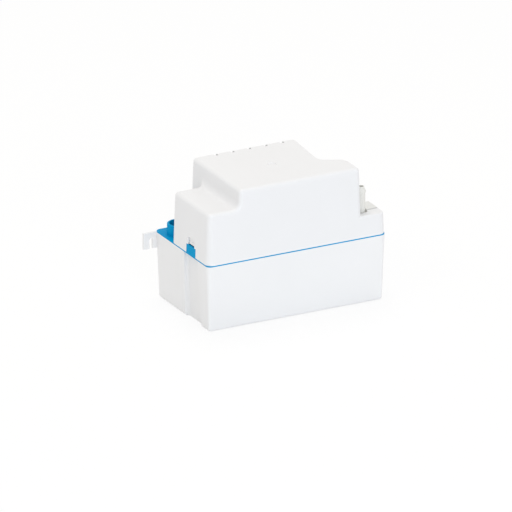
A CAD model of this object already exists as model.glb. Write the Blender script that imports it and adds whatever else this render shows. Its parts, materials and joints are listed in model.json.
import bmesh
import bpy
import json
import math
import numpy as np
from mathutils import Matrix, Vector


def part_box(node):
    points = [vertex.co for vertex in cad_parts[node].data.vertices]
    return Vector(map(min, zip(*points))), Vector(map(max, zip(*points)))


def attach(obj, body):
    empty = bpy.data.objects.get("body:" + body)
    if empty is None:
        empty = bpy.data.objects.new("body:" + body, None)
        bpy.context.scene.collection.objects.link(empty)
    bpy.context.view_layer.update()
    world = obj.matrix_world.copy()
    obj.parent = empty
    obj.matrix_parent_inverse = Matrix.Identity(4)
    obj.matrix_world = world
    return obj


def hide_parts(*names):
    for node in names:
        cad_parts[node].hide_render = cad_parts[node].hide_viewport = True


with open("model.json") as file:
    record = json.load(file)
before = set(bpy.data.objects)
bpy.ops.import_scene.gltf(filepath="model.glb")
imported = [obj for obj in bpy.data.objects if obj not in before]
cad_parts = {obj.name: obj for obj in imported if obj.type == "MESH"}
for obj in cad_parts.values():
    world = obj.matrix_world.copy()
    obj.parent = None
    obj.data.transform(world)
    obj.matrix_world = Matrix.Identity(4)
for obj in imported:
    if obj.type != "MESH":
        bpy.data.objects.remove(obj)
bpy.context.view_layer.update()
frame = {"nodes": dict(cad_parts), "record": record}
nodes = frame["nodes"]
mm = 0.001      # pieces are set in millimetres, the stage and the finishes in metres
print("frame loaded:", len(nodes), "nodes")

# camera: a very long lens, so parallel lines stay parallel
cameraSettings = {"azimuth": -27.5, "elevation": 21.4, "distance": 24.0, "frameWidth": 0.512,
                  "aim": (-0.0562, -0.0764, 0.0820), "sensor": 36.0, "near": 0.05, "far": 60.0}


def makeCamera(settings):
    # stands back from the aim along the azimuth and elevation, and looks at it
    azimuth = math.radians(settings["azimuth"])
    elevation = math.radians(settings["elevation"])
    back = Vector((math.sin(azimuth) * math.cos(elevation), -math.cos(azimuth) * math.cos(elevation),
                   math.sin(elevation)))
    data = bpy.data.cameras.new("camera")
    data.sensor_width = settings["sensor"]
    data.lens = data.sensor_width * settings["distance"] / settings["frameWidth"]
    data.clip_start = settings["near"]
    data.clip_end = settings["far"]
    camera = bpy.data.objects.new("camera", data)
    camera.location = Vector(settings["aim"]) + back * settings["distance"]
    camera.rotation_euler = (-back).to_track_quat("-Z", "Y").to_euler()
    bpy.context.scene.collection.objects.link(camera)
    bpy.context.scene.camera = camera


# lights: a warm key from the left and above, a wide cool light in front, a warm one over the back
lightSettings = {
    "aim": (0, 0, 0.08),
    "lamps": {
        "keyLight": {"power": 2.4, "size": 0.6, "place": (-1.5, -0.5, 1.7), "colour": (1.0, 0.97, 0.92)},
        "frontLight": {"power": 14.5, "size": 1.5, "place": (-0.40, -2.2, 0.7), "colour": (0.78, 0.875, 1.0)},
        "topLight": {"power": 7.8, "size": 1.0, "place": (0.1, 0.5, 1.9), "colour": (1.0, 0.955, 0.89)},
    },
}


def areaLight(name, settings, aim):
    # a disc that faces the aim
    data = bpy.data.lights.new(name, "AREA")
    data.energy = settings["power"]
    data.color = settings["colour"]
    data.shape = "DISK"
    data.size = settings["size"]
    lamp = bpy.data.objects.new(name, data)
    lamp.location = settings["place"]
    lamp.rotation_euler = (Vector(aim) - Vector(settings["place"])).to_track_quat("-Z", "Y").to_euler()
    bpy.context.scene.collection.objects.link(lamp)


def shownMix(tree, lit, shown):
    # shows one thing to the camera, glass and gloss, and gives another to the light
    path = tree.nodes.new("ShaderNodeLightPath")
    seen = path.outputs["Is Camera Ray"]
    for ray in ("Is Glossy Ray", "Is Transmission Ray"):
        either = tree.nodes.new("ShaderNodeMath")
        either.operation = "MAXIMUM"
        tree.links.new(seen, either.inputs[0])
        tree.links.new(path.outputs[ray], either.inputs[1])
        seen = either.outputs[0]
    mix = tree.nodes.new("ShaderNodeMixShader")
    tree.links.new(seen, mix.inputs["Fac"])
    tree.links.new(lit, mix.inputs[1])
    tree.links.new(shown, mix.inputs[2])
    return mix.outputs[0]


# world: soft warm light all round, shown as plain white
worldSettings = {"colour": (1.0, 0.992, 0.98), "strength": 0.74, "shown": (1, 1, 1), "shownStrength": 1.0}


def makeWorld(settings):
    # the world's own light, and the plain white that the camera sees in its place
    world = bpy.data.worlds.new("studio")
    bpy.context.scene.world = world
    world.use_nodes = True
    tree = world.node_tree
    tree.nodes.clear()
    lit = tree.nodes.new("ShaderNodeBackground")
    lit.inputs["Color"].default_value = (*settings["colour"], 1)
    lit.inputs["Strength"].default_value = settings["strength"]
    shown = tree.nodes.new("ShaderNodeBackground")
    shown.inputs["Color"].default_value = (*settings["shown"], 1)
    shown.inputs["Strength"].default_value = settings["shownStrength"]
    out = tree.nodes.new("ShaderNodeOutputWorld")
    tree.links.new(shownMix(tree, lit.outputs[0], shown.outputs[0]), out.inputs["Surface"])


# floor: one pale grey to the light, and a white with a soft shadow to the camera; half is half its side
floorSettings = {"half": 8.0, "drop": 0.0002, "colour": 0.93, "shown": 1.0, "glow": 0.82, "glowStrength": 1.0}


def makeFloor(settings):
    # a level square, a hair below the part's rest face
    axis = np.array([-settings["half"], settings["half"]])
    x, y = np.meshgrid(axis, axis)
    points = np.stack([x.ravel(), y.ravel(), np.full(4, -settings["drop"])], axis=1)
    mesh = bpy.data.meshes.new("floor")
    mesh.from_pydata(points.tolist(), [], [(0, 1, 3, 2)])
    floor = bpy.data.objects.new("floor", mesh)
    bpy.context.scene.collection.objects.link(floor)
    material = bpy.data.materials.new("paleFloor")
    material.use_nodes = True
    tree = material.node_tree
    tree.nodes.clear()
    diffuse = tree.nodes.new("ShaderNodeBsdfDiffuse")
    diffuse.inputs["Color"].default_value = (*[settings["colour"]] * 3, 1)
    pale = tree.nodes.new("ShaderNodeBsdfDiffuse")     # carries the shadow that the camera sees
    pale.inputs["Color"].default_value = (*[settings["shown"]] * 3, 1)
    glow = tree.nodes.new("ShaderNodeEmission")
    glow.inputs["Color"].default_value = (1, 1, 1, 1)
    glow.inputs["Strength"].default_value = settings["glowStrength"]
    part = tree.nodes.new("ShaderNodeMixShader")
    part.inputs["Fac"].default_value = settings["glow"]
    tree.links.new(pale.outputs[0], part.inputs[1])
    tree.links.new(glow.outputs[0], part.inputs[2])
    out = tree.nodes.new("ShaderNodeOutputMaterial")
    tree.links.new(shownMix(tree, diffuse.outputs[0], part.outputs[0]), out.inputs["Surface"])
    mesh.materials.append(material)


makeCamera(cameraSettings)
makeWorld(worldSettings)
for lampName, lampSettings in lightSettings["lamps"].items():
    areaLight(lampName, lampSettings, lightSettings["aim"])
makeFloor(floorSettings)
bpy.context.scene.view_settings.view_transform = "Standard"
print("stage set")


# node helpers: each returns the socket that carries its result
def newFinish(name):
    # a new material, its node tree and its shader
    material = bpy.data.materials.new(name)
    material.use_nodes = True
    return material, material.node_tree, material.node_tree.nodes["Principled BSDF"]


def objectPoints(tree, scale=(1.0, 1.0, 1.0)):
    # the object's own coordinates, each axis times its scale
    source = tree.nodes.new("ShaderNodeTexCoord")
    mapping = tree.nodes.new("ShaderNodeMapping")
    mapping.inputs["Scale"].default_value = scale
    tree.links.new(source.outputs["Object"], mapping.inputs["Vector"])
    return mapping.outputs["Vector"]


def noise(tree, vector, scale, detail=2.0, rough=0.5):
    # cloudy noise from 0 to 1
    node = tree.nodes.new("ShaderNodeTexNoise")
    node.inputs["Scale"].default_value = scale
    node.inputs["Detail"].default_value = detail
    node.inputs["Roughness"].default_value = rough
    tree.links.new(vector, node.inputs["Vector"])
    return node.outputs["Fac"]


def bands(tree, vector, scale, axis, distortion=0.0):
    # parallel bands across one axis: a sine from 0 to 1
    node = tree.nodes.new("ShaderNodeTexWave")
    node.bands_direction = axis
    node.inputs["Scale"].default_value = scale
    node.inputs["Distortion"].default_value = distortion
    tree.links.new(vector, node.inputs["Vector"])
    return node.outputs["Fac"]


def ramp(tree, value, low, high, lowColour, highColour):
    # the low colour up to low, the high colour from high on, and a blend between
    node = tree.nodes.new("ShaderNodeValToRGB")
    node.color_ramp.elements[0].position = low
    node.color_ramp.elements[1].position = high
    node.color_ramp.elements[0].color = (*lowColour, 1)
    node.color_ramp.elements[1].color = (*highColour, 1)
    tree.links.new(value, node.inputs["Fac"])
    return node.outputs["Color"]


def rangeOf(tree, value, low, high, fromLow=0.0, fromHigh=1.0):
    # a straight line from one range of values to another, held at both ends
    node = tree.nodes.new("ShaderNodeMapRange")
    node.inputs["From Min"].default_value = fromLow
    node.inputs["From Max"].default_value = fromHigh
    node.inputs["To Min"].default_value = low
    node.inputs["To Max"].default_value = high
    tree.links.new(value, node.inputs["Value"])
    return node.outputs["Result"]


def maths(tree, operation, first, second):
    # one operation on two sockets or numbers
    node = tree.nodes.new("ShaderNodeMath")
    node.operation = operation
    for socket, value in zip(node.inputs, (first, second)):
        if isinstance(value, (int, float)):
            socket.default_value = value
        else:
            tree.links.new(value, socket)
    return node.outputs[0]


def mixColour(tree, amount, first, second, blendType="MIX"):
    # the first colour, turned into the second by the amount
    node = tree.nodes.new("ShaderNodeMix")
    node.data_type = "RGBA"
    node.blend_type = blendType
    for socket, value in ((node.inputs[0], amount), (node.inputs[6], first), (node.inputs[7], second)):
        if isinstance(value, (int, float)):
            socket.default_value = value
        elif isinstance(value, tuple):
            socket.default_value = (*value, 1)
        else:
            tree.links.new(value, socket)
    return node.outputs[2]


def bump(tree, shader, height, strength, distance):
    # tilts the shader's normal by the slope of the height; the distance is in metres
    node = tree.nodes.new("ShaderNodeBump")
    node.inputs["Strength"].default_value = strength
    node.inputs["Distance"].default_value = distance
    tree.links.new(height, node.inputs["Height"])
    tree.links.new(node.outputs["Normal"], shader.inputs["Normal"])


def edgeMask(tree, radius, samples=4, sharp=0.75, flat=0.995):
    # how far the rounded normal turns from the true one: 0 on flats, towards 1 on edges
    rounded = tree.nodes.new("ShaderNodeBevel")
    rounded.samples = samples
    rounded.inputs["Radius"].default_value = radius
    true = tree.nodes.new("ShaderNodeNewGeometry")
    turn = tree.nodes.new("ShaderNodeVectorMath")
    turn.operation = "DOT_PRODUCT"
    tree.links.new(rounded.outputs["Normal"], turn.inputs[0])
    tree.links.new(true.outputs["Normal"], turn.inputs[1])
    return rangeOf(tree, turn.outputs["Value"], 1.0, 0.0, sharp, flat)


def darker(colour, share):
    # each part times one less the share
    return tuple(part * (1 - share) for part in colour)


def paler(colour, share):
    # each part moved by the share of its way to white
    return tuple(min(1.0, part + (1 - part) * share) for part in colour)


def brighter(colour, share):
    # each part times one and the share, up to white
    return tuple(min(1.0, part * (1 + share)) for part in colour)


# moulded plastic: noise scales are per metre, and a pair is where a mark starts and where it is full
mouldedLook = {
    "driftScale": 11.0, "driftFrom": (0.32, 0.68),
    "flowStretch": (6.0, 6.0, 46.0), "flowScale": 3.0, "flowFrom": (0.45, 0.7), "flowShare": 6,
    "flowDark": 1.6,
    "scuffStretch": (38.0, 9.0, 60.0), "scuffScale": 9.0, "scuffFrom": (0.62, 0.70), "scuffShare": 5,
    "scuffDark": 0.06, "scuffRough": 0.10,
    "wearScale": 160.0, "wearFrom": (0.35, 0.65), "wearLeast": 0.25, "wearPale": 0.55, "wearGloss": 0.12,
    "glossScale": 45.0, "glossBelow": 0.04, "glossAbove": 0.05,
    "waveScale": 90.0, "waveShare": 0.7, "grainStrength": 0.4,
}
# one row for each plastic: drift is how far its tone wanders, edge and wear are the width and strength of
# its worn edges
plasticSettings = {
    "housing_white": {"colour": (0.845, 0.845, 0.85), "rough": 0.33, "drift": 0.010, "grain": 0.00003,
                      "grainScale": 1700.0, "edge": 0.0045, "wear": 0.85, "shine": 0.5},
    "tank_white": {"colour": (0.86, 0.86, 0.862), "rough": 0.36, "drift": 0.012, "grain": 0.00003,
                   "grainScale": 1500.0, "edge": 0.0030, "wear": 0.70, "shine": 0.5},
    "deck_blue": {"colour": (0.0, 0.325, 0.63), "rough": 0.45, "drift": 0.035, "grain": 0.00003,
                  "grainScale": 1800.0, "edge": 0.0008, "wear": 0.0, "shine": 0.04},
    "natural_plastic": {"colour": (0.80, 0.79, 0.745), "rough": 0.40, "drift": 0.03, "grain": 0.00002,
                        "grainScale": 2200.0, "edge": 0.0008, "wear": 0.3, "shine": 0.45},
    "grey_plastic": {"colour": (0.80, 0.80, 0.775), "rough": 0.42, "drift": 0.02, "grain": 0.00003,
                     "grainScale": 1800.0, "edge": 0.0010, "wear": 0.25, "shine": 0.4},
    "black_plastic": {"colour": (0.018, 0.018, 0.020), "rough": 0.42, "drift": 0.12, "grain": 0.00003,
                      "grainScale": 1800.0, "edge": 0.0006, "wear": 0.08, "shine": 0.45},
    "pump_plastic": {"colour": (0.040, 0.043, 0.048), "rough": 0.46, "drift": 0.12, "grain": 0.00004,
                     "grainScale": 1300.0, "edge": 0.0008, "wear": 0.10, "shine": 0.4},
    "float_foam": {"colour": (0.80, 0.79, 0.74), "rough": 0.45, "drift": 0.03, "grain": 0.00003,
                   "grainScale": 1600.0, "edge": 0.0012, "wear": 0.3, "shine": 0.45},
}


def mouldedFinish(name, settings, look=mouldedLook):
    # slow tone drift, faint flow lines, handling marks, spark-eroded grain, worn edges
    material, tree, shader = newFinish(name)
    colour, drift = settings["colour"], settings["drift"]
    points = objectPoints(tree)
    tone = noise(tree, points, look["driftScale"], 3.0)
    flow = noise(tree, objectPoints(tree, look["flowStretch"]), look["flowScale"], 4.0, 0.6)
    base = ramp(tree, tone, *look["driftFrom"], darker(colour, drift), brighter(colour, drift))
    base = mixColour(tree, rangeOf(tree, flow, 0.0, drift * look["flowShare"], *look["flowFrom"]), base,
                     darker(colour, drift * look["flowDark"]))
    scuffs = noise(tree, objectPoints(tree, look["scuffStretch"]), look["scuffScale"], 6.0, 0.7)
    scuffMask = rangeOf(tree, scuffs, 0.0, 1.0, *look["scuffFrom"])
    patchy = rangeOf(tree, noise(tree, points, look["wearScale"], 4.0, 0.65), look["wearLeast"], 1.0,
                     *look["wearFrom"])
    worn = maths(tree, "MULTIPLY", edgeMask(tree, settings["edge"]), patchy)
    base = mixColour(tree, maths(tree, "MULTIPLY", worn, settings["wear"]), base,
                     paler(colour, look["wearPale"]))
    base = mixColour(tree, maths(tree, "MULTIPLY", scuffMask, drift * look["scuffShare"]), base,
                     darker(colour, look["scuffDark"]))
    tree.links.new(base, shader.inputs["Base Color"])
    gloss = rangeOf(tree, noise(tree, points, look["glossScale"], 3.0),
                    settings["rough"] - look["glossBelow"], settings["rough"] + look["glossAbove"])
    gloss = maths(tree, "ADD", gloss, maths(tree, "MULTIPLY", scuffMask, look["scuffRough"]))
    gloss = maths(tree, "SUBTRACT", gloss, maths(tree, "MULTIPLY", worn, look["wearGloss"]))
    tree.links.new(gloss, shader.inputs["Roughness"])
    shader.inputs["Specular IOR Level"].default_value = settings["shine"]
    grain = maths(tree, "ADD", noise(tree, points, settings["grainScale"], 3.0, 0.6),
                  maths(tree, "MULTIPLY", noise(tree, points, look["waveScale"], 2.0), look["waveShare"]))
    bump(tree, shader, grain, look["grainStrength"], settings["grain"])
    return material


# metal: film is how dark the dull patches go, lines stretch the tool marks, relief is their height in metres
metalLook = {
    "lineScale": 8.0, "lineFrom": (0.4, 0.65), "lineShare": 0.5, "lineDark": 1.4, "lineRough": 0.08,
    "lineStrength": 0.35, "patchScale": 70.0, "patchFrom": (0.3, 0.7), "patchPale": 0.08,
    "glossBelow": 0.07, "glossAbove": 0.1, "edge": 0.0004, "wear": 0.5, "wearPale": 0.35,
}
metalSettings = {
    "cast_zinc": {"colour": (0.46, 0.47, 0.49), "rough": 0.46, "film": 0.22, "metal": 0.9,
                  "lines": (60.0, 60.0, 60.0), "relief": 0.00010},
    "shaft_steel": {"colour": (0.58, 0.59, 0.61), "rough": 0.26, "film": 0.12, "metal": 1.0,
                    "lines": (8.0, 8.0, 700.0), "relief": 0.00002},
    "winding_copper": {"colour": (0.62, 0.22, 0.07), "rough": 0.30, "film": 0.35, "metal": 0.7,
                       "lines": (400.0, 12.0, 12.0), "relief": 0.00003},
}


def metalFinish(name, settings, look=metalLook):
    # turned, cast or rolled lines along one axis, dull patches and a darker film
    material, tree, shader = newFinish(name)
    colour = settings["colour"]
    lines = noise(tree, objectPoints(tree, settings["lines"]), look["lineScale"], 3.0, 0.6)
    patches = noise(tree, objectPoints(tree), look["patchScale"], 4.0, 0.6)
    base = ramp(tree, patches, *look["patchFrom"], darker(colour, settings["film"]),
                paler(colour, look["patchPale"]))
    base = mixColour(tree, rangeOf(tree, lines, 0.0, look["lineShare"], *look["lineFrom"]), base,
                     darker(colour, settings["film"] * look["lineDark"]))
    worn = edgeMask(tree, look["edge"])
    base = mixColour(tree, maths(tree, "MULTIPLY", worn, look["wear"]), base, paler(colour, look["wearPale"]))
    tree.links.new(base, shader.inputs["Base Color"])
    gloss = rangeOf(tree, patches, settings["rough"] - look["glossBelow"],
                    settings["rough"] + look["glossAbove"])
    gloss = maths(tree, "ADD", gloss, maths(tree, "MULTIPLY", lines, look["lineRough"]))
    tree.links.new(gloss, shader.inputs["Roughness"])
    shader.inputs["Metallic"].default_value = settings["metal"]
    bump(tree, shader, lines, look["lineStrength"], settings["relief"])
    return material


# motor stack: sheet is the thickness of one lamination, wavePeriod the wave texture's own step at scale one
steelSettings = {
    "colour": (0.33, 0.34, 0.36), "sheet": 0.00065, "wavePeriod": 0.314, "metal": 0.85,
    "unevenStretch": (20.0, 20.0, 1500.0), "unevenDepth": (0.7, 1.15), "grooveFrom": (0.1, 0.75),
    "grooveDark": 0.55, "facePale": 0.06, "gloss": (0.34, 0.52), "grooveStrength": 0.7, "relief": 0.00012,
    "rustColour": (0.17, 0.075, 0.035), "rustScale": 120.0, "rustFrom": (0.60, 0.74), "rustShare": 0.55,
}


def laminatedFinish(name, settings):
    # a stack of thin steel sheets: a groove every sheet, varnish that pools between them, rust at a few edges
    material, tree, shader = newFinish(name)
    colour = settings["colour"]
    points = objectPoints(tree)
    sheets = bands(tree, points, settings["wavePeriod"] / settings["sheet"], "Z")
    uneven = noise(tree, objectPoints(tree, settings["unevenStretch"]), 1.0, 2.0)
    depth = maths(tree, "MULTIPLY", sheets, rangeOf(tree, uneven, *settings["unevenDepth"]))
    base = ramp(tree, depth, *settings["grooveFrom"], darker(colour, settings["grooveDark"]),
                paler(colour, settings["facePale"]))
    rust = rangeOf(tree, noise(tree, points, settings["rustScale"], 5.0, 0.65), 0.0, settings["rustShare"],
                   *settings["rustFrom"])
    base = mixColour(tree, rust, base, settings["rustColour"])
    tree.links.new(base, shader.inputs["Base Color"])
    tree.links.new(rangeOf(tree, uneven, *settings["gloss"]), shader.inputs["Roughness"])
    shader.inputs["Metallic"].default_value = settings["metal"]
    bump(tree, shader, sheets, settings["grooveStrength"], settings["relief"])
    return material


bronzeSettings = {
    "colour": (0.52, 0.34, 0.15), "metal": 0.9, "poreScale": 2600.0, "poreFrom": (0.34, 0.5), "poreDark": 0.6,
    "poreStrength": 0.5, "relief": 0.00005, "oilScale": 130.0, "oilFrom": (0.45, 0.7), "oilShare": 0.5,
    "oilDark": 0.5, "gloss": (0.5, 0.28),
}


def speckledFinish(name, settings):
    # sintered bronze: open pores, and oil that darkens patches of it
    material, tree, shader = newFinish(name)
    colour = settings["colour"]
    points = objectPoints(tree)
    pores = noise(tree, points, settings["poreScale"], 2.0, 0.7)
    oil = noise(tree, points, settings["oilScale"], 3.0)
    base = ramp(tree, pores, *settings["poreFrom"], darker(colour, settings["poreDark"]), colour)
    base = mixColour(tree, rangeOf(tree, oil, 0.0, settings["oilShare"], *settings["oilFrom"]), base,
                     darker(colour, settings["oilDark"]))
    tree.links.new(base, shader.inputs["Base Color"])
    tree.links.new(rangeOf(tree, oil, *settings["gloss"]), shader.inputs["Roughness"])
    shader.inputs["Metallic"].default_value = settings["metal"]
    bump(tree, shader, pores, settings["poreStrength"], settings["relief"])
    return material


rubberSettings = {
    "colour": (0.016, 0.016, 0.017), "shine": 0.3, "talcScale": 260.0, "talcFrom": (0.4, 0.8),
    "talcPale": 0.12, "gloss": (0.62, 0.85), "grainScale": 1500.0, "grainStrength": 0.4, "grain": 0.00005,
}


def rubberFinish(name, settings):
    # rubber: matt, a little talc left in the pores
    material, tree, shader = newFinish(name)
    colour = settings["colour"]
    points = objectPoints(tree)
    talc = noise(tree, points, settings["talcScale"], 5.0, 0.7)
    base = ramp(tree, talc, *settings["talcFrom"], colour, paler(colour, settings["talcPale"]))
    tree.links.new(base, shader.inputs["Base Color"])
    tree.links.new(rangeOf(tree, talc, *settings["gloss"]), shader.inputs["Roughness"])
    shader.inputs["Specular IOR Level"].default_value = settings["shine"]
    bump(tree, shader, noise(tree, points, settings["grainScale"], 2.0), settings["grainStrength"],
         settings["grain"])
    return material


finishes = {slot: mouldedFinish(slot, settings) for slot, settings in plasticSettings.items()}
finishes.update({slot: metalFinish(slot, settings) for slot, settings in metalSettings.items()})
finishes["lamination_steel"] = laminatedFinish("lamination_steel", steelSettings)
finishes["sintered_bronze"] = speckledFinish("sintered_bronze", bronzeSettings)
finishes["rubber_black"] = rubberFinish("rubber_black", rubberSettings)
slotOf = {row["node"]: row["material_slot"] for row in frame["record"]["subparts"]}
for nodeName, node in nodes.items():
    node.data.materials.clear()
    node.data.materials.append(finishes[slotOf[nodeName]])
print("finishes made:", len(finishes))

mergeDistance = 1e-6    # points of a new mesh closer than this, in metres, become one


# shape helpers
def gridPiece(name, points, closeRows, closeColumns, material, body, smooth=True):
    # a grid of points, rows by columns, made into faces; poles and open ends are closed
    rows, columns = points.shape[:2]
    row, column = np.meshgrid(np.arange(rows if closeRows else rows - 1),
                              np.arange(columns if closeColumns else columns - 1), indexing="ij")
    nextRow, nextColumn = (row + 1) % rows, (column + 1) % columns
    quads = np.stack([row * columns + column, nextRow * columns + column,
                      nextRow * columns + nextColumn, row * columns + nextColumn], axis=-1).reshape(-1, 4)
    mesh = bpy.data.meshes.new(name)
    mesh.from_pydata(points.reshape(-1, 3).tolist(), [], quads.tolist())
    work = bmesh.new()
    work.from_mesh(mesh)
    bmesh.ops.remove_doubles(work, verts=work.verts, dist=mergeDistance)
    openEdges = [edge for edge in work.edges if edge.is_boundary]
    if openEdges:
        bmesh.ops.holes_fill(work, edges=openEdges)
    bmesh.ops.recalc_face_normals(work, faces=work.faces)
    work.to_mesh(mesh)
    work.free()
    mesh.polygons.foreach_set("use_smooth", np.full(len(mesh.polygons), smooth))
    mesh.materials.append(material)
    piece = bpy.data.objects.new(name, mesh)
    bpy.context.scene.collection.objects.link(piece)
    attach(piece, body)
    return piece


def turned(profile, centre, steps=64, axis="Z"):
    # a profile of (radius, height) turned about an axis through the centre
    radius, height = np.array(profile, dtype=float).T * mm
    angle = np.linspace(0, 2 * np.pi, steps, endpoint=False)
    x = radius[:, None] * np.cos(angle)
    y = radius[:, None] * np.sin(angle)
    z = np.repeat(height[:, None], steps, axis=1)
    points = np.stack([x, y, z] if axis == "Z" else [x, z, -y], axis=-1)
    return points + np.array(centre) * mm


def joined(name, grids, material, body, smooth=True, closeRows=False, closeColumns=True):
    # several grids as one piece
    pieces = [gridPiece(name + "Part", grid, closeRows, closeColumns, material, body, smooth)
              for grid in grids]
    work = bmesh.new()
    for piece in pieces:
        work.from_mesh(piece.data)
        bpy.data.objects.remove(piece)
    mesh = bpy.data.meshes.new(name)
    work.to_mesh(mesh)
    work.free()
    mesh.materials.append(material)
    whole = bpy.data.objects.new(name, mesh)
    bpy.context.scene.collection.objects.link(whole)
    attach(whole, body)
    return whole


def pillow(centre, half, power=6.0, rows=18, columns=40):
    # superellipsoid: a rounded block whose edges get sharper with the power
    def bend(values):
        return np.sign(values) * np.abs(values) ** (2.0 / power)
    up = np.linspace(-np.pi / 2, np.pi / 2, rows)[:, None]
    around = np.linspace(0, 2 * np.pi, columns, endpoint=False)[None, :]
    x = bend(np.cos(up)) * bend(np.cos(around)) * half[0]
    y = bend(np.cos(up)) * bend(np.sin(around)) * half[1]
    z = bend(np.sin(up)) * half[2] * np.ones_like(around)
    return (np.stack([x, y, z], axis=-1) + np.array(centre)) * mm


# winding: a rounded rectangle carried along the core bar, standing out over every wire
windingSettings = {"turns": 34, "perTurn": 6, "wire": 0.5, "crown": 0.6, "corner": 4.0, "innerCorner": 1.2,
                   "build": 8.8, "endGap": 0.05, "around": 96}


def roundedLoop(halfY, halfZ, corner, count):
    # a circle of the corner's radius whose centre slides over the core rectangle as the direction turns;
    # gives the points and their outward directions
    angle = np.linspace(0, 2 * np.pi, count, endpoint=False)
    outY, outZ = np.cos(angle), np.sin(angle)
    coreY, coreZ = halfY - corner, halfZ - corner
    y = np.clip(outY * 4 * corner, -1, 1) * coreY
    z = np.clip(outZ * 4 * corner, -1, 1) * coreZ
    return np.stack([y + outY * corner, z + outZ * corner], axis=1), np.stack([outY, outZ], axis=1)


def makeWinding(settings):
    # outer loops swell by a power of the sine along each wire; two inner loops close the tube
    low, high = np.array(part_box("coil_winding")) / mm
    centre = (low + high) / 2
    halfY, halfZ = (high[1] - low[1]) / 2, (high[2] - low[2]) / 2
    wire, build, gap = settings["wire"], settings["build"], settings["endGap"]
    along = np.linspace(0, 1, settings["turns"] * settings["perTurn"] + 1)
    crown = np.abs(np.sin(np.pi * along * settings["turns"])) ** settings["crown"]
    outer, out = roundedLoop(halfY - wire, halfZ - wire, settings["corner"], settings["around"])
    inner = roundedLoop(halfY - build, halfZ - build, settings["innerCorner"], settings["around"])[0]
    ring = outer[None] + out[None] * (crown * wire)[:, None, None]
    back = np.repeat(inner[None], 2, axis=0)
    x = np.concatenate([low[0] + gap + along * (high[0] - low[0] - 2 * gap), [high[0] - gap, low[0] + gap]])
    section = np.concatenate([ring, back])
    points = np.concatenate([np.broadcast_to(x[:, None, None], section.shape[:2] + (1,)),
                             section + centre[1:]], axis=2) * mm
    piece = gridPiece("windingTurns", points, True, True, finishes["winding_copper"], "pump_head")
    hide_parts("coil_winding")



makeWinding(windingSettings)
print("winding made")

# screw faces: a low dome with a cross or a slot sunk in it
screwSettings = {"rings": 14, "around": 72, "dome": 0.5, "sink": 0.45, "slot": 0.42, "crossReach": 0.62}


def screwFace(centre, radius, height, cross, turn, settings=screwSettings):
    # height over the disc: a dome that falls off with the radius squared, less the recess
    share = np.linspace(0, 1, settings["rings"])[:, None]
    angle = np.linspace(0, 2 * np.pi, settings["around"], endpoint=False)[None, :]
    x, y = radius * share * np.cos(angle), radius * share * np.sin(angle)
    turnedX, turnedY = x * math.cos(turn) + y * math.sin(turn), y * math.cos(turn) - x * math.sin(turn)
    inSlot = np.abs(turnedY) < settings["slot"]
    if cross:
        inSlot = (inSlot | (np.abs(turnedX) < settings["slot"])) & (share < settings["crossReach"])
    top = height + settings["dome"] * (1 - share ** 2) - settings["sink"] * inSlot
    skirt = np.stack([x[-1], y[-1], np.zeros_like(x[-1])], axis=-1)[None]
    points = np.concatenate([np.stack([x, y, top + 0 * x], axis=-1), skirt])
    return (points + np.array(centre)) * mm


# turn is the first screw's angle in radians, turnStep what each next one adds
terminalSettings = {"centre": (54.0, -37.0), "pitch": 7.6, "level": 79.6, "radius": 1.75, "sunk": 1.0,
                    "turn": 0.5, "turnStep": 1.1}


def makeTerminalScrews(settings):
    # two columns of three, sunk into the terminal block
    centreX, centreY = settings["centre"]
    places = [(centreX + column * settings["pitch"] / 2, centreY + row * settings["pitch"])
              for column in (-1, 1) for row in (-1, 0, 1)]
    sunk = settings["sunk"]
    grids = [screwFace((x, y, settings["level"] - sunk), settings["radius"], sunk, False,
                       settings["turn"] + index * settings["turnStep"])
             for index, (x, y) in enumerate(places)]
    joined("terminalScrews", grids, finishes["shaft_steel"], "pump_head")


stackScrewSettings = {"share": 0.86, "lift": 0.05, "turn": 0.3}      # share of the head's radius


def makeStackScrewFaces(settings):
    # a crossed face on the head of each long motor screw
    low, high = np.array(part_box("motor_screws")) / mm
    middle = (low + high) / 2
    reach = (high[0] - low[0]) / 2
    head = (high[1] - low[1]) / 2
    grids = [screwFace((middle[0] + side * (reach - head), middle[1], high[2]), head * settings["share"],
                       settings["lift"], True, settings["turn"] + side) for side in (-1, 1)]
    joined("motorScrewFaces", grids, finishes["shaft_steel"], "pump_head")


makeTerminalScrews(terminalSettings)
makeStackScrewFaces(stackScrewSettings)
print("screws made")

# shading bars: copper on the top and foot of the pole tips; each place is x, y and turn
shadingSettings = {"half": (5.0, 1.5, 0.7), "power": 5.0,
                   "places": ((-15.5, 18.5, 0.75), (15.5, -6.5, 0.75),
                              (-18.5, 15.2, 0.75), (18.5, -3.2, 0.75))}


def makeShadingBars(settings):
    # a rounded block, turned about the vertical and moved to each place
    low, high = np.array(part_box("stator_stack")) / mm
    block = pillow((0, 0, 0), settings["half"], settings["power"]) / mm
    grids = []
    for x, y, turn in settings["places"]:
        for level in (high[2] + settings["half"][2], low[2] - settings["half"][2]):
            flatX = block[..., 0] * math.cos(-turn) - block[..., 1] * math.sin(-turn) + x
            flatY = block[..., 0] * math.sin(-turn) + block[..., 1] * math.cos(-turn) + y
            grids.append(np.stack([flatX, flatY, block[..., 2] + level], axis=-1) * mm)
    joined("shadingBars", grids, finishes["winding_copper"], "pump_head")


makeShadingBars(shadingSettings)

# float weld: a bead round the float where its halves meet, at a level above the float's foot
floatSettings = {"bead": 0.45, "half": 0.9, "sunk": 0.3, "root": 0.6, "level": 12.0, "arc": 9, "steps": 96}


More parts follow.
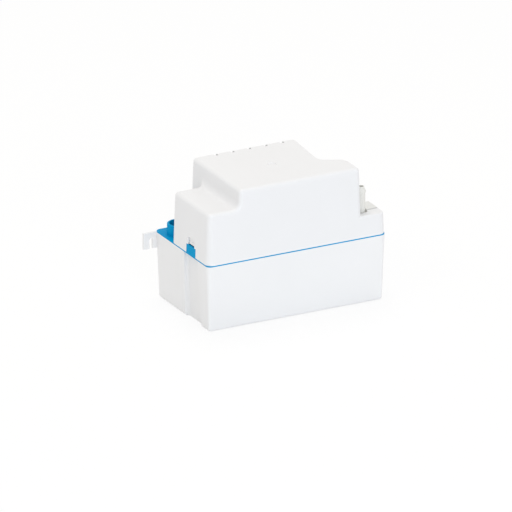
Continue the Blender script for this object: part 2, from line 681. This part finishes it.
def makeFloatWeld(settings):
    # half an ellipse for the bead and a straight root inside the wall, turned about the float's axis
    low, high = np.array(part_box("float")) / mm
    centre = (low + high) / 2
    radius = (high[0] - low[0]) / 2
    half, root = settings["half"], radius - settings["root"]
    angle = np.linspace(-np.pi / 2, np.pi / 2, settings["arc"])
    bead = np.stack([radius - settings["sunk"] + (settings["bead"] + settings["sunk"]) * np.cos(angle),
                     half * np.sin(angle)], axis=1)
    profile = np.concatenate([bead, [[root, half], [root, -half]]])
    points = turned(profile, (centre[0], centre[1], low[2] + settings["level"]), settings["steps"])
    weld = gridPiece("floatWeld", points, True, True, finishes["float_foam"], "float_assembly")


makeFloatWeld(floatSettings)

# push-on clip that holds the fan on the shaft; dish is its lift from the bore out to the rim
fanClipSettings = {"inner": 2.55, "outer": 5.2, "thick": 0.5, "teeth": 8, "toothDepth": 0.35, "gap": 0.05,
                   "dish": (0.45, 0.2, 0.0), "steps": 96}


def makeFanClip(settings):
    # a dished washer: out along its top, back along its underside, the rim stepped into square teeth
    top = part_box("cooling_fan")[1][2] / mm
    centre = (np.array(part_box("motor_shaft")[0]) + np.array(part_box("motor_shaft")[1])) / 2 / mm
    angle = np.linspace(0, 2 * np.pi, settings["steps"], endpoint=False)
    out = np.linspace(0, 1, len(settings["dish"]))
    dish = np.array(settings["dish"])
    share = np.concatenate([out, out[::-1]])[:, None]
    lift = np.concatenate([dish + settings["thick"], dish[::-1]])[:, None]
    rim = settings["outer"] + settings["toothDepth"] * np.sign(np.sin(settings["teeth"] * angle))[None, :]
    radius = settings["inner"] + (rim - settings["inner"]) * share
    points = np.stack([centre[0] + radius * np.cos(angle), centre[1] + radius * np.sin(angle),
                       top + settings["gap"] + lift + 0 * radius], axis=-1) * mm
    gridPiece("fanClip", points, True, True, finishes["shaft_steel"], "rotor")


makeFanClip(fanClipSettings)

# ribs of the cable gland: fromTop is how far its axis lies under its top, start where the first rib begins
glandSettings = {"ribs": 4, "pitch": 1.35, "radius": 4.35, "root": 4.2, "height": 0.45, "swell": 0.7,
                 "start": -19.4, "fromTop": 4.4, "perRib": 10, "steps": 48}


def makeGlandRibs(settings):
    # the radius swells by a power of the sine along each rib, turned about the gland's own axis
    low, high = np.array(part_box("cable_gland")) / mm
    centreX, centreZ = (low[0] + high[0]) / 2, high[2] - settings["fromTop"]
    along = np.linspace(0, settings["ribs"], settings["ribs"] * settings["perRib"] + 1)
    radius = settings["radius"] + settings["height"] * np.abs(np.sin(np.pi * along)) ** settings["swell"]
    place = settings["start"] + along * settings["pitch"]
    root = settings["root"]
    profile = [(root, place[0])] + list(zip(radius, place)) + [(root, place[-1])]
    points = turned(profile, (centreX, 0, centreZ), settings["steps"], axis="Y")
    ribs = gridPiece("glandRibs", points, True, True, finishes["rubber_black"], "pump_head")


makeGlandRibs(glandSettings)
print("small pieces made")

# dust gauze behind the vents: an angle of black mesh under the roof and down the back wall.
# wallFoot is the wall's outside at the level base, from where it leans in by the draft in degrees
gauzeSettings = {
    "left": -44.0, "right": 42.0, "thick": 0.35, "under": 143.45, "front": 40.5, "foot": 116.0, "columns": 60,
    "wallFoot": 52.0, "wall": 2.2, "gap": 0.25, "base": 71.7, "draft": 2.0,
    "weaveScale": 420.0, "weaveFrom": (0.1, 0.6), "dark": (0.004, 0.004, 0.004),
    "thread": (0.02, 0.02, 0.021), "gloss": (0.95, 0.8), "shine": 0.1, "weaveStrength": 0.6, "relief": 0.0002,
}


def gauzeFinish(settings):
    # two crossed sets of bands multiplied together: threads where both are high
    material, tree, shader = newFinish("ventGauze")
    spots = objectPoints(tree)
    scale = settings["weaveScale"]
    weave = maths(tree, "MULTIPLY", bands(tree, spots, scale, "X"), bands(tree, spots, scale, "Z"))
    tree.links.new(ramp(tree, weave, *settings["weaveFrom"], settings["dark"], settings["thread"]),
                   shader.inputs["Base Color"])
    tree.links.new(rangeOf(tree, weave, *settings["gloss"]), shader.inputs["Roughness"])
    shader.inputs["Specular IOR Level"].default_value = settings["shine"]
    bump(tree, shader, weave, settings["weaveStrength"], settings["relief"])
    return material


def makeVentGauze(settings):
    # the angle's section, down the inside of the wall and back, carried from left to right
    lean = math.tan(math.radians(settings["draft"]))
    inside = settings["wallFoot"] - settings["wall"] - settings["gap"]
    thick, front, under, foot = (settings[key] for key in ("thick", "front", "under", "foot"))
    wallY = inside - lean * (under - settings["base"])
    footY = inside - lean * (foot - settings["base"])
    section = np.array([(front, under), (wallY, under), (footY, foot), (footY - thick, foot),
                        (wallY - thick, under - thick), (front, under - thick)])
    x = np.linspace(settings["left"], settings["right"], settings["columns"])
    points = np.stack([np.repeat(x[:, None], len(section), axis=1),
                       np.repeat(section[None, :, 0], len(x), axis=0),
                       np.repeat(section[None, :, 1], len(x), axis=0)], axis=-1) * mm
    gauze = gridPiece("ventGauze", points, False, True, gauzeFinish(settings), "cover_shell", False)


makeVentGauze(gauzeSettings)

# white pad behind the window of the cover's catch
latchSettings = {"centre": (-97.7, -20.5, 85.55), "half": (0.7, 6.6, 4.35), "power": 9.0}


def makeLatchPad(settings):
    # a thin superellipsoid whose high power makes it nearly a flat plate
    points = pillow(settings["centre"], settings["half"], settings["power"])
    pad = gridPiece("latchPad", points, False, True, finishes["housing_white"], "cover_shell")


makeLatchPad(latchSettings)
print("vent gauze and latch pad made")

# inner leads, one curve each: control points in millimetres
leadSettings = {
    "radius": 0.75, "smooth": 8, "roundness": 2,
    "bloomScale": 220.0, "bloomFrom": (0.35, 0.7), "bloomDark": 0.15, "bloomPale": 0.05, "gloss": (0.36, 0.5),
    "strandScale": 900.0, "strandStrength": 0.25, "relief": 0.00005,
    "leads": {
        "motorLeadBlack": {"colour": (0.02, 0.02, 0.022), "points": (
            (22.6, -46.0, 92.0), (26.5, -46.4, 92.6), (33.0, -47.0, 94.5), (41.0, -47.0, 95.0),
            (47.5, -46.2, 93.5), (50.2, -44.8, 90.0), (50.2, -44.6, 86.0), (50.2, -44.6, 80.6))},
        "motorLeadWhite": {"colour": (0.75, 0.75, 0.72), "points": (
            (22.6, -42.8, 88.6), (26.5, -43.0, 88.2), (33.0, -42.0, 88.5), (41.0, -39.5, 91.0),
            (47.5, -37.8, 91.5), (50.2, -37.0, 88.5), (50.2, -37.0, 85.0), (50.2, -37.0, 80.6))},
        "runLeadBlack": {"colour": (0.02, 0.02, 0.022), "points": (
            (-59.95, -28.0, 118.4), (-59.95, -28.0, 122.5), (-58.8, -31.5, 127.5),
            (-55.0, -36.5, 128.0), (-52.4, -42.0, 122.0), (-52.4, -47.0, 108.0), (-52.2, -50.2, 92.0),
            (-49.0, -51.3, 78.5), (-36.0, -51.6, 76.0), (-10.0, -51.8, 75.4), (20.0, -51.8, 75.4),
            (46.0, -52.0, 75.6), (60.0, -52.2, 77.5), (63.6, -51.4, 86.0), (61.5, -47.5, 92.0),
            (57.8, -44.8, 90.5), (57.8, -44.6, 86.0), (57.8, -44.6, 80.6))},
        "runLeadBlue": {"colour": (0.02, 0.12, 0.42), "points": (
            (-59.95, -20.0, 118.4), (-59.95, -20.0, 122.5), (-57.6, -23.0, 128.5),
            (-53.6, -30.0, 130.0), (-50.4, -38.0, 124.0), (-50.2, -44.5, 109.0), (-49.8, -48.4, 93.0),
            (-46.5, -49.3, 80.5), (-34.0, -49.6, 77.6), (-10.0, -49.8, 77.2), (20.0, -49.8, 77.2),
            (36.0, -50.0, 78.0), (43.5, -48.5, 83.0), (44.6, -43.5, 92.5), (50.0, -39.0, 97.0),
            (55.8, -37.4, 94.5), (57.8, -37.0, 89.0), (57.8, -37.0, 80.6))},
        "alarmLeadYellow": {"colour": (0.62, 0.42, 0.03), "points": (
            (-72.05, -28.0, 117.9), (-72.05, -28.4, 120.2), (-70.0, -31.5, 121.4),
            (-64.0, -37.5, 121.0), (-57.5, -43.0, 116.0), (-54.6, -46.5, 106.0), (-54.6, -49.3, 92.0),
            (-52.0, -49.6, 81.0), (-44.0, -49.4, 75.6), (-30.0, -49.6, 74.9), (-10.0, -49.7, 74.8),
            (20.0, -49.7, 74.8), (34.0, -49.2, 75.8), (41.5, -46.0, 80.0), (43.2, -38.5, 89.0),
            (44.8, -31.0, 93.5), (49.0, -29.5, 92.0), (50.2, -29.4, 87.0), (50.2, -29.4, 80.6))},
        "alarmLeadGrey": {"colour": (0.25, 0.25, 0.26), "points": (
            (-72.05, -12.0, 117.9), (-72.05, -12.4, 120.2), (-70.2, -15.5, 121.6),
            (-66.0, -22.0, 121.8), (-58.5, -33.5, 121.6), (-53.6, -41.0, 116.0), (-51.6, -45.0, 104.0),
            (-51.4, -47.4, 92.0), (-48.5, -47.4, 80.5), (-40.0, -47.3, 76.6), (-20.0, -47.5, 76.2),
            (5.0, -47.6, 76.2), (30.0, -47.4, 76.6), (41.0, -44.0, 78.5), (44.6, -36.0, 84.0),
            (46.6, -26.5, 91.0), (52.0, -24.6, 95.5), (57.0, -27.2, 93.5), (57.8, -29.4, 88.0),
            (57.8, -29.4, 80.6))},
    },
}


def leadFinish(name, colour, settings):
    # soft insulation: a slight ripple from the strands under it and a dull bloom
    material, tree, shader = newFinish(name)
    points = objectPoints(tree)
    bloom = noise(tree, points, settings["bloomScale"], 3.0)
    base = ramp(tree, bloom, *settings["bloomFrom"], darker(colour, settings["bloomDark"]),
                paler(colour, settings["bloomPale"]))
    tree.links.new(base, shader.inputs["Base Color"])
    tree.links.new(rangeOf(tree, bloom, *settings["gloss"]), shader.inputs["Roughness"])
    bump(tree, shader, noise(tree, points, settings["strandScale"], 2.0), settings["strandStrength"],
         settings["relief"])
    return material


def routeLength(curve):
    # length of the smooth line itself, read from the curve before it has a thickness
    probe = bpy.data.objects.new("probe", curve)
    bpy.context.scene.collection.objects.link(probe)
    line = bpy.data.meshes.new_from_object(probe)
    places = np.empty(len(line.vertices) * 3)
    line.vertices.foreach_get("co", places)
    bpy.data.objects.remove(probe)
    bpy.data.meshes.remove(line)
    return float(np.linalg.norm(np.diff(places.reshape(-1, 3), axis=0), axis=1).sum())


def makeLead(name, route, settings):
    # a smooth curve pulled towards its control points, with a round section
    curve = bpy.data.curves.new(name, "CURVE")
    curve.dimensions = "3D"
    curve.resolution_u = settings["smooth"]
    spline = curve.splines.new("NURBS")
    places = np.array(route["points"]) * mm
    spline.points.add(len(places) - 1)
    spline.points.foreach_set("co", np.column_stack([places, np.ones(len(places))]).ravel())
    spline.order_u = 3
    spline.use_endpoint_u = True
    length = routeLength(curve)
    radius = settings["radius"]
    curve.bevel_depth = radius * mm
    curve.bevel_resolution = settings["roundness"]
    curve.use_fill_caps = True
    curve.materials.append(leadFinish(name, route["colour"], settings))
    lead = bpy.data.objects.new(name, curve)
    bpy.context.scene.collection.objects.link(lead)
    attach(lead, "pump_head")


for leadName, route in leadSettings["leads"].items():
    makeLead(leadName, route, leadSettings)
print("leads made")

# insulated sleeves on the switch tags that carry a lead
sleeveSettings = {
    "half": (1.7, 3.2, 4.0), "power": 5.0, "middle": 114.6,
    "places": ((-59.95, -28.0), (-59.95, -20.0), (-72.05, -28.0), (-72.05, -12.0)),
    "deep": (0.42, 0.02, 0.015), "pale": (0.55, 0.035, 0.025), "toneScale": 90.0, "toneFrom": (0.3, 0.7),
    "glossScale": 300.0, "gloss": (0.3, 0.42), "grainScale": 1500.0, "grainStrength": 0.3, "relief": 0.00004,
}


def sleeveFinish(settings):
    # glossy red plastic whose tone drifts a little
    material, tree, shader = newFinish("sleeveRed")
    points = objectPoints(tree)
    tone = noise(tree, points, settings["toneScale"], 3.0)
    tree.links.new(ramp(tree, tone, *settings["toneFrom"], settings["deep"], settings["pale"]),
                   shader.inputs["Base Color"])
    tree.links.new(rangeOf(tree, noise(tree, points, settings["glossScale"]), *settings["gloss"]),
                   shader.inputs["Roughness"])
    bump(tree, shader, noise(tree, points, settings["grainScale"]), settings["grainStrength"],
         settings["relief"])
    return material


def makeSleeves(settings):
    # one superellipsoid over each tag
    grids = [pillow((x, y, settings["middle"]), settings["half"], settings["power"])
             for x, y in settings["places"]]
    joined("tagSleeves", grids, sleeveFinish(settings), "pump_head")


makeSleeves(sleeveSettings)
print("sleeves made")
